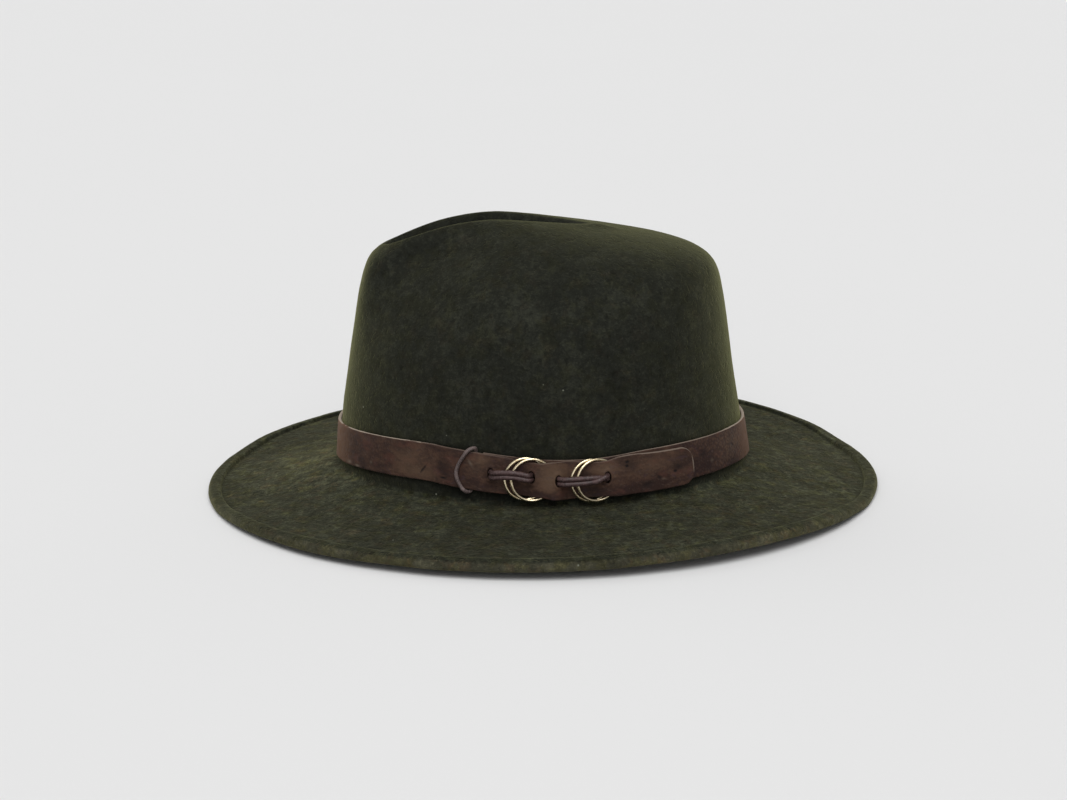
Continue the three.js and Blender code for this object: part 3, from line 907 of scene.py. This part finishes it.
def tip_drop(angle):
    """How far the tail hangs below the strap's middle line towards its tip."""
    return TIP_DROP.height * smoothstep(-TIP_DROP.start, -TIP_DROP.end, -angle)


def tail_swell(angle):
    """How much higher the tail's top edge stands before its tip."""
    return TAIL_SWELL.height * bell((angle - TAIL_SWELL.angle) / TAIL_SWELL.reach)


def strap_line(angles):
    """The strap's middle at angles from its start to its tip.

    Gives which angles are on the tail, how far out the middle lies, how far the rings squeeze
    each edge in, and the places and directions on the wall.
    """
    is_tail = angles <= TAIL_FROM
    turned = np.where(is_tail, angles + 360, TAIL_FROM + 360)
    out = np.where(is_tail, tail_out(turned), layer_out(0))
    squeeze = np.where(is_tail, read_table(TAIL, "squeeze", turned), 0)
    frames = wall_frames(angles, strap_height(angles) - tip_drop(angles) * is_tail)
    return is_tail, out, squeeze, frames


def strap_outline(half):
    """Outline of the strap's section, from the top edge down the face and back up."""
    t = STRAP_THICKNESS / 2
    side, depth = half - STRAP_SOFT, t - STRAP_SOFT

    def corner(u, through, start):
        turn = np.radians(start + CORNER_TURNS)
        arc = zip(STRAP_SOFT * np.cos(turn), STRAP_SOFT * np.sin(turn))
        return [(u + a, through + b) for a, b in arc]

    face = [(u, t) for u in np.linspace(side, -side, FACE_POINTS)]
    back = [(u, -t) for u in np.linspace(-side, side, BACK_POINTS)]
    foot, heel = corner(-side, depth, 90), corner(-side, -depth, 180)
    brow, lip = corner(side, -depth, 270), corner(side, depth, 0)
    return np.array(face + foot + heel + back + brow + lip)


def strap_sections():
    """Angles of the strap's sections with each one's half width, and a degree's length."""
    half = STRAP_WIDTH / 2
    point = wall_frames([STRAP_TIP, STRAP_TIP + 1], strap_height(STRAP_TIP))[0]
    degree = np.linalg.norm(point[0] - point[1])
    plain = np.concatenate([np.arange(row.start, row.end, -row.step) for row in PLAIN_STEPS])
    tail = np.arange(TAIL_FROM, STRAP_TIP + TIP_RADIUS / degree, -TAIL_STEP)
    turns = np.radians(np.linspace(0, 90, TIP_STEPS))
    tip = STRAP_TIP + TIP_RADIUS * (1 - np.sin(turns)) / degree
    narrow = half - TIP_RADIUS * (1 - np.cos(turns))
    angles = np.concatenate([plain, tail, tip])
    halves = np.concatenate([np.full(len(plain) + len(tail), half), narrow])
    return angles, halves, degree


def strap_body(sizes):
    """Strap with its slots, raised slot edges and uneven face."""
    angles, halves, degree = strap_sections()
    is_tail, out, squeeze, (point, along, up, away) = strap_line(angles)
    outlines = np.stack([strap_outline(half) for half in halves - squeeze])
    u, through = outlines[..., 0], outlines[..., 1]
    swell = tail_swell(angles + 360) * is_tail
    u = u + swell[:, None] * np.maximum(u, 0) / (STRAP_WIDTH / 2)

    lip = np.zeros(u.shape)
    for slot in SLOTS:
        way = ((wall_frame(slot.angle)[0] - point) * along).sum(-1)[:, None] * is_tail[:, None]
        far = np.hypot(way / (slot.along / 2), (u - slot.up) / (slot.height / 2))
        lip += bell((far - SLOT_LIP.far) / SLOT_LIP.width) * is_tail[:, None]
    place = point[:, None] + up[:, None] * u[..., None]
    place = place + away[:, None] * (out[:, None] + through)[..., None]
    face = smoothstep(*(STRAP_THICKNESS / 2 - depth for depth in RELIEF_DEPTH), through)
    uneven = waves(place, STRAP_WAVES) * sizes.strap_relief / MM
    relief = face * (uneven + lip * SLOT_LIP.height)
    place = place + away[:, None] * relief[..., None]
    place = place + up[:, None] * waves(place, STRAP_WANDER)[..., None]

    middle = place[-1].mean(0)
    end = middle + (place[-1] - middle) * TIP_END.scale + along[-1] * TIP_END.along
    strap = mesh_object("leather_strap", *loft([[*place, end]]), crease=50)
    cut_slots(strap)
    tag_strap(strap, degree)
    return strap


def cut_slots(strap):
    """Cuts the four oval slots through the tail alone."""
    turn = np.radians(np.arange(SLOT_SIDES) * 360 / SLOT_SIDES)[:, None]
    stacks = []
    for slot in SLOTS:
        point, along, up, away = wall_frame(slot.angle)
        ring = point + along * (slot.along / 2 * np.cos(turn))
        ring = ring + up * (slot.up + slot.height / 2 * np.sin(turn))
        middle = float(tail_out(slot.angle))
        low, high = middle - SLOT_DEPTH * STRAP_THICKNESS, middle + STRAP_THICKNESS
        stacks.append([ring + away * depth for depth in (low, high)])
    plugs = mesh_object("slot_plugs", *loft(stacks))
    cut = strap.modifiers.new("slots", "BOOLEAN")
    cut.operation = "DIFFERENCE"
    cut.solver = "EXACT"
    cut.object = plugs
    bpy.context.view_layer.update()
    graph = bpy.context.evaluated_depsgraph_get()
    done = bpy.data.meshes.new_from_object(strap.evaluated_get(graph))
    strap.modifiers.clear()
    uncut = strap.data
    strap.data = done
    strap.data.name = "leather_strap"
    bpy.data.meshes.remove(uncut)
    bpy.data.objects.remove(plugs)


# Marks of wear on the strap's face, with painted shade in the pits among the dark ones: place,
# half sizes along and across, lean and depth of colour. A shade above 0 is dark, one below 0
# pale.
MARKS = table(
    "angle up along across lean shade",
    (123.95, -3.7, 0.45, 2.1, 0.7, 2.2), (116.5, -3.9, 1.3, 1.2, 0.0, 0.5),
    (117.3, -5.9, 1.9, 0.6, 0.5, 1.3), (118.3, 1.0, 3.2, 3.6, 0.0, 0.35),
    (144.2, -4.7, 1.0, 0.8, 0.0, -0.3), (157.0, -7.5, 2.4, 0.9, 0.3, -0.6),
    (151.7, -8.2, 2.2, 0.6, 0.0, -0.7), (148.0, -8.4, 1.1, 0.7, 0.0, 1.0),
    (109.3, 3.9, 0.8, 1.9, -0.5, -0.3), (67.6, 6.7, 1.3, 0.8, 0.0, 1.4),
    (67.8, 4.7, 0.8, 0.7, 0.0, 1.8), (66.4, 5.6, 2.6, 2.4, 0.0, 0.4),
    (52.8, -1.3, 1.2, 0.8, 0.0, 1.7), (52.0, 0.3, 3.6, 2.4, 0.0, 0.7),
    (58.2, -2.9, 1.0, 1.9, -0.6, 0.7), (56.9, -4.0, 1.4, 0.6, -0.6, -0.25),
    (62.0, -5.2, 3.6, 2.2, 0.0, 0.6), (77.5, -7.6, 4.5, 2.4, 0.0, 0.6),
    (41.0, 1.6, 2.6, 1.7, 0.0, 0.6), (25.1, 0.8, 1.0, 0.8, 0.0, 1.2),
    (37.3, -3.0, 1.1, 0.9, 0.0, -0.3),
)
MARK_FALL = 1.4
# Rubbed, paler places, and darker ones, whose share is below 0
WORN = table(
    "angle up along across share",
    (87.0, 3.5, 6.0, 6.0, 0.9), (88.5, -2.0, 4.5, 5.0, 0.45), (74.0, 5.0, 6.0, 3.2, 0.8),
    (106.5, 6.5, 3.5, 2.6, 0.8), (107.5, 2.0, 3.0, 4.0, 0.3), (126.0, -5.6, 11.0, 3.2, 0.75),
    (128.0, 1.5, 10.0, 6.0, 0.5), (61.0, 3.6, 13.0, 4.6, 0.4), (65.0, -7.0, 16.0, 3.0, -0.7),
    (92.5, -7.6, 9.0, 2.4, -0.8), (105.0, -7.0, 5.0, 3.0, -0.6), (116.5, 0.5, 3.5, 4.5, -0.5),
    (25.0, 2.0, 13.0, 6.5, 0.8), (40.0, -5.0, 6.0, 4.0, -0.5),
)
# Share of the cut edge's pale colour round the hat, and of the painted light on the face towards
# the strap's ends
PALE = table(
    "angle share",
    (0, 1.0), (24, 0.8), (34, 0.35), (60, 0.3), (75, 0.1), (112, 0.1), (120, 0.55), (128, 0.8),
    (180, 1.0),
)
END_LIGHT = table(
    "angle share", (0, 0.8), (12, 0.6), (25, 0.0), (152, 0.0), (163, 0.45), (172, 0.8), (180, 0.8)
)
# Painted shade in the creases where the tail bends over the rings: how far each wanders, its
# width and its depth
BENDS = (113.5, 107.5, 99.2, 97.0, 83.0, 80.8)
CREASE_SHADE = values("wander waves width depth", 0.25, 0.9, 0.5, 0.5)
FACE_DEPTH = 0.35
# Distances from an edge over which its colour ends, and what the tail's pale outline adds
EDGE_REACH = values("low high outline_low outline_high", 0.08, 0.30, 0.15, 0.4)
# The tail's pale outline: lowest place on its end, the angles over which it ends, its share
OUTLINE = values("lowest full none pale", -7, 66, 74, 0.22)
# Angles over which the pebbled grain begins and ends
PEBBLED = values("none full full_end none_end", 6, 30, 44, 60)
# What a vertex's distance along the strap counts against its distance off the strap's middle
ALONG_SHARE = 0.1


def strap_patch(row, angle, up, degree, lean=0.0):
    """Squared distance from the middle of a patch of the strap, in the patch's half sizes."""
    way = -(np.mod(angle - row.angle + 180, 360) - 180) * degree
    return ((way - lean * (up - row.up)) / row.along) ** 2 + ((up - row.up) / row.across) ** 2


def nearest_places(places, line, away, is_tail):
    """For each vertex the place on the strap's line that it belongs to, plain run or tail."""
    trees = []
    for layer in (np.flatnonzero(~is_tail), np.flatnonzero(is_tail)):
        tree = kdtree.KDTree(len(layer))
        for i in layer:
            tree.insert(line[i], i)
        tree.balance()
        trees.append(tree)

    def off(place, hit):
        through = np.dot(place - line[hit[1]], away[hit[1]])
        return abs(through) + ALONG_SHARE * hit[2]

    found = [min((tree.find(p) for tree in trees), key=lambda hit: off(p, hit)) for p in places]
    return np.array([hit[1] for hit in found])


def tag_strap(strap, degree):
    """Numbers for the strap's finish at each vertex: edges, marks, creases, wear and grain."""
    places = np.array([v.co for v in strap.data.vertices]) / MM
    fine = np.arange(STRAP_START, STRAP_TIP, -TAIL_STEP)
    is_tail, out, squeeze, (point, along, up, away) = strap_line(fine)
    line = point + away * out[:, None]
    nearest = nearest_places(places, line, away, is_tail)
    offset = places - line[nearest]
    u, way, through = ((offset * axis[nearest]).sum(-1) for axis in (up, along, away))
    on_tail = is_tail[nearest]
    angle = np.mod(fine[nearest] - way / degree, 360)

    to_tip = np.where(on_tail, (fine[nearest] - STRAP_TIP) * degree - way, np.inf)
    lean = np.clip(TIP_RADIUS - to_tip, 0, TIP_RADIUS)
    half = STRAP_WIDTH / 2 - squeeze[nearest] - TIP_RADIUS + np.sqrt(TIP_RADIUS**2 - lean**2)
    half = half + tail_swell(angle) * on_tail * (u > 0)
    rim = np.minimum(half - np.abs(u), to_tip)
    outline = on_tail * (u > OUTLINE.lowest) * (1 - smoothstep(OUTLINE.full, OUTLINE.none, angle))
    low = EDGE_REACH.low + EDGE_REACH.outline_low * outline
    high = EDGE_REACH.high + EDGE_REACH.outline_high * outline

    hidden = ~on_tail & (angle > STRAP_TIP + 360) & (angle < STRAP_START)
    marked = (through > STRAP_THICKNESS / 2 - FACE_DEPTH) & ~hidden
    dark, light, worn, crease = np.zeros((4, len(places)))
    for row in MARKS:
        fall = np.exp(-MARK_FALL * strap_patch(row, angle, u, degree, row.lean))
        target = dark if row.shade > 0 else light
        np.maximum(target, np.minimum(abs(row.shade) * fall, 1) * marked, out=target)
    for row in WORN:
        worn += row.share * np.exp(-strap_patch(row, angle, u, degree)) * marked
    for bend in BENDS:
        ripple = angle - bend + CREASE_SHADE.wander * np.sin(u * CREASE_SHADE.waves + bend)
        depth = CREASE_SHADE.depth * bell(ripple / CREASE_SHADE.width)
        crease = np.maximum(crease, depth * (marked & on_tail))
    begun = smoothstep(PEBBLED.none, PEBBLED.full, angle)
    ended = smoothstep(PEBBLED.full_end, PEBBLED.none_end, angle)
    pale = read_table(PALE, "share", from_back(angle))
    tag(
        strap,
        edge=1 - smoothstep(low, high, rim),
        pale=np.where(on_tail, OUTLINE.pale * outline, pale),
        faded=read_table(END_LIGHT, "share", from_back(angle)),
        dark_mark=dark,
        light_mark=light,
        worn=np.clip(worn, -1, 1),
        crease=crease,
        pebbled=~on_tail * begun * (1 - ended),
    )


# Laces, keeper and rings

CORD_SIDES = 18
LACE_STEPS = 72
KEEPER_STEPS = 150
RING_STEPS = 128
LOOP_STEPS = 24
# Lumps of a lace's thickness: share of its radius, and how often they come along its way
LACE_LUMPS = values("share often apart", 0.05, 9, 5)
LACE_WAVES = table("share size seed", (0.05, 1.6, 2))
KEEPER_WAVES = table("share size seed", (0.06, 1.4, 8))
# The grain of a lace's second strand starts this much further on
STRAND_SHIFT = 40
# How far a ring is out of round: size, waves in a turn, and share of its angle as phase
RING_WAVES = table("size waves phase", (0.05, 2, 1), (0.02, 5, 0))


def run_along(path):
    """Distance along a path at each of its points."""
    return np.concatenate([[0], np.cumsum(np.linalg.norm(np.diff(path, axis=0), axis=1))])


def tube(path, radius, hint, closed=False):
    """Rings of a round cord along a path. hint gives the first direction across it."""
    if closed:
        tangent = unit(np.roll(path, -1, axis=0) - np.roll(path, 1, axis=0))
    else:
        tangent = unit(np.gradient(path, axis=0))
    side = unit(np.cross(tangent, np.broadcast_to(hint, path.shape)))
    across = unit(np.cross(side, tangent))
    turn = (np.arange(CORD_SIDES) * 2 * math.pi / CORD_SIDES)[:, None]
    ring = across[:, None] * np.sin(turn) + side[:, None] * np.cos(turn)
    return path[:, None] + ring * np.broadcast_to(radius, len(path))[:, None, None]


def uneven_tube(path, radius, hint, rows, closed=False):
    """A tube whose rings swell and shrink with noise."""
    rings = tube(path, radius, hint, closed)
    return rings + (rings - path[:, None]) * waves(rings, rows)[..., None]


def lace_body(lace):
    """Two round strands that arch over the rings from slot to slot."""
    way = (1 - np.cos(np.pi * np.arange(LACE_STEPS + 1) / LACE_STEPS)) / 2
    angle = lerp(lace.start, lace.end, way)
    base = lerp(float(tail_out(lace.start)), float(tail_out(lace.end)), way)
    rise = read_table(LACE_ARCH, "rise", way)
    point, _, up, away = wall_frames(angle, strap_height(angle))
    middle = lerp(lace.start_up, lace.end_up, way) + lace.bow * np.sin(np.pi * way)
    stacks, lengths = [], []
    for n, rows in enumerate(lace.strands):
        out = lerp(base, LACE_CREST + read_table(rows, "out", way), rise)
        shift = middle + read_table(rows, "up", way)
        path = point + up * shift[:, None] + away * out[:, None]
        spots = [(w * LACE_LUMPS.often, n * LACE_LUMPS.apart, lace.start) for w in way]
        lumps = 1 + LACE_LUMPS.share * np.array([noise.noise(Vector(spot)) for spot in spots])
        stacks.append(uneven_tube(path, STRAND_RADIUS * lumps, up, LACE_WAVES))
        lengths.append(np.repeat(run_along(path) + STRAND_SHIFT * n, CORD_SIDES))
    piece = mesh_object(f"{lace.name}_strands", *loft(stacks), crease=60)
    tag(piece, along=np.concatenate(lengths))
    return piece


def loop_curve(points, count):
    """Points evenly spaced on the smooth closed curve through points, and its length."""
    total = len(points)
    found = []
    for i in range(total):
        p = [points[(i + k - 1) % total] for k in range(4)]
        t = [0.0]
        for a, b in zip(p, p[1:]):
            t.append(t[-1] + np.linalg.norm(b - a) ** 0.5)
        for s in np.linspace(t[1], t[2], LOOP_STEPS, endpoint=False):
            a = [lerp(p[k], p[k + 1], (s - t[k]) / (t[k + 1] - t[k])) for k in range(3)]
            b = [lerp(a[k], a[k + 1], (s - t[k]) / (t[k + 2] - t[k])) for k in range(2)]
            found.append(lerp(*b, (s - t[1]) / (t[2] - t[1])))
    found = np.array(found + [found[0]])
    run = run_along(found)
    places = np.arange(count) * run[-1] / count
    return np.stack([np.interp(places, run, found[:, k]) for k in range(3)], axis=-1), run[-1]


def keeper_body(sizes):
    """Round thong bowed over the tail and closed behind it."""
    point, along, up, away = wall_frame(KEEPER_ANGLE)
    middle = float(tail_out(KEEPER_ANGLE))
    path = [point + along * b.along + up * b.up + away * (middle + b.out) for b in KEEPER_PATH]
    curve, length = loop_curve(path, KEEPER_STEPS)
    # along is square to most of the loop, so it gives the first direction across it
    rings = uneven_tube(curve, sizes.keeper_cord / MM / 2, along, KEEPER_WAVES, closed=True)
    piece = mesh_object("keeper_thong", *loft([rings], capped=False), crease=60)
    run = np.arange(KEEPER_STEPS) * length / KEEPER_STEPS
    tag(piece, along=np.repeat(run, CORD_SIDES))
    return piece


def ring_body(ring, sizes):
    """Ring of round wire, very slightly out of true."""
    point, along, up, away = wall_frame(ring.angle)
    tilt = math.radians(RING_TILT)
    in_plane = along * math.cos(tilt) - away * math.sin(tilt)
    facing = np.cross(in_plane, up)
    centre = point + up * ring.up + away * layer_out(ring.lift)
    turn = np.arange(RING_STEPS) * 2 * math.pi / RING_STEPS
    radius = RING_RADIUS
    for row in RING_WAVES:
        radius = radius + row.size * np.sin(row.waves * turn + row.phase * ring.angle)
    way = in_plane * np.cos(turn)[:, None] + up * np.sin(turn)[:, None]
    round_turn = np.arange(CORD_SIDES) * 2 * math.pi / CORD_SIDES
    wire = sizes.ring_wire / MM / 2
    reach = (radius[:, None] + wire * np.cos(round_turn))[..., None]
    rings = centre + way[:, None] * reach + facing * (wire * np.sin(round_turn))[:, None]
    return mesh_object(f"{ring.name}_wire", *loft([rings], capped=False), crease=60)


# Operators


class HAT_OT_felt(bpy.types.Operator):
    """Builds the blocked felt: crown, crease, brim and welted edge"""

    bl_idname = "hat.felt"
    bl_label = "Felt"

    def execute(self, context):
        piece = felt_body(context.scene.hat_sizes)
        settle(piece, "felt_body", felt_finish(colours_of(context)))
        return {"FINISHED"}


class HAT_OT_strap(bpy.types.Operator):
    """Builds the leather strap with its slots, tail and rounded tip"""

    bl_idname = "hat.strap"
    bl_label = "Strap"

    def execute(self, context):
        piece = strap_body(context.scene.hat_sizes)
        settle(piece, "hat_strap", strap_finish(colours_of(context)))
        return {"FINISHED"}


class HAT_OT_laces(bpy.types.Operator):
    """Builds the keeper thong and the two doubled laces"""

    bl_idname = "hat.laces"
    bl_label = "Laces and keeper"

    def execute(self, context):
        colours = colours_of(context)
        finish = cord_finish("lace_leather", colours.lace, LACE_RUBBED_HIGHLIGHT)
        for lace in LACES:
            settle(lace_body(lace), lace.name, finish)
        finish = cord_finish("keeper_leather", colours.keeper, KEEPER_RUBBED_HIGHLIGHT)
        settle(keeper_body(context.scene.hat_sizes), "keeper_loop", finish)
        return {"FINISHED"}


class HAT_OT_rings(bpy.types.Operator):
    """Builds the four brass rings"""

    bl_idname = "hat.rings"
    bl_label = "Rings"

    def execute(self, context):
        finish = brass_finish(colours_of(context))
        for ring in RINGS:
            settle(ring_body(ring, context.scene.hat_sizes), ring.name, finish)
        return {"FINISHED"}


# Studio: wide soft lamps, by the side and height they shine from, in degrees, the spread
# of each one's face and its power. Azimuth 0 is behind the camera, 90 to its right.
LAMPS = table(
    "name azimuth elevation spread power",
    ("front_top_light", 0, 60, 50, 2.1),
    ("front_light", 0, 25, 50, 0.5),
    ("left_back_light", -135, 30, 50, 0.36),
    ("right_back_light", 135, 30, 50, 0.12),
)
LAMP_DISTANCE = 2
ROOM_LIGHT = 0.28
FLOOR_REACH = 6000
FLOOR_HEIGHT = -0.05
CAMERA_PLACE = (-0.004, -1.2, 0.3655)
CAMERA_SENSOR = 36
CAMERA_LENS = 83.03
CAMERA_DOWN = 15.07
CAMERA_ROLL = -0.84


class HAT_OT_stage(bpy.types.Operator):
    """Builds the pale floor, the soft studio light and the camera"""

    bl_idname = "hat.stage"
    bl_label = "Stage"

    def execute(self, context):
        scene = context.scene
        sides = ((-1, -1), (1, -1), (1, 1), (-1, 1))
        corners = [(x * FLOOR_REACH, y * FLOOR_REACH, FLOOR_HEIGHT) for x, y in sides]
        floor = mesh_object("studio_floor", corners, [(0, 1, 2, 3)])
        floor.data.materials.append(floor_finish(colours_of(context)))

        for lamp in LAMPS:
            light = bpy.data.lights.new(lamp.name, "SUN")
            light.angle = math.radians(lamp.spread)
            light.energy = lamp.power
            turn, rise = math.radians(lamp.azimuth), math.radians(lamp.elevation)
            flat = math.cos(rise)
            source = Vector((math.sin(turn) * flat, -math.cos(turn) * flat, math.sin(rise)))
            holder = bpy.data.objects.new(lamp.name, light)
            holder.rotation_euler = (-source).to_track_quat("-Z", "Y").to_euler()
            holder.location = source * LAMP_DISTANCE
            scene.collection.objects.link(holder)

        world = bpy.data.worlds.new("studio")
        world.use_nodes = True
        backdrop = world.node_tree.nodes["Background"]
        backdrop.inputs["Color"].default_value = (1, 1, 1, 1)
        backdrop.inputs["Strength"].default_value = ROOM_LIGHT
        scene.world = world
        scene.view_settings.view_transform = "Standard"

        lens = bpy.data.cameras.new("camera")
        lens.sensor_fit = "HORIZONTAL"
        lens.sensor_width = CAMERA_SENSOR
        lens.lens = CAMERA_LENS
        camera = bpy.data.objects.new("camera", lens)
        tilt = Euler((math.radians(90 - CAMERA_DOWN), 0, 0)).to_matrix().to_4x4()
        roll = Matrix.Rotation(math.radians(CAMERA_ROLL), 4, "Z")
        camera.matrix_world = Matrix.Translation(CAMERA_PLACE) @ tilt @ roll
        scene.collection.objects.link(camera)
        scene.camera = camera
        return {"FINISHED"}


class HAT_PT_panel(bpy.types.Panel):
    """Lists the hat's pieces and settings"""

    bl_idname = "HAT_PT_panel"
    bl_label = "Loden Hat"
    bl_space_type = "VIEW_3D"
    bl_region_type = "UI"
    bl_category = "Hat"

    def draw(self, context):
        layout = self.layout
        for operator in OPERATORS:
            layout.operator(operator.bl_idname)
        for name in HatSizes.__annotations__:
            layout.prop(context.scene.hat_sizes, name)
        for name in HatColours.__annotations__:
            layout.prop(context.scene.hat_colours, name)


OPERATORS = (HAT_OT_felt, HAT_OT_strap, HAT_OT_laces, HAT_OT_rings, HAT_OT_stage)
CLASSES = (HatSizes, HatColours, *OPERATORS, HAT_PT_panel)


def register():
    for cls in CLASSES:
        bpy.utils.register_class(cls)
    bpy.types.Scene.hat_sizes = PointerProperty(type=HatSizes)
    bpy.types.Scene.hat_colours = PointerProperty(type=HatColours)


def unregister():
    del bpy.types.Scene.hat_colours
    del bpy.types.Scene.hat_sizes
    for cls in reversed(CLASSES):
        bpy.utils.unregister_class(cls)


def main():
    register()
    bpy.ops.hat.felt()
    bpy.ops.hat.strap()
    bpy.ops.hat.laces()
    bpy.ops.hat.rings()
    bpy.ops.hat.stage()


if __name__ == "__main__":
    main()
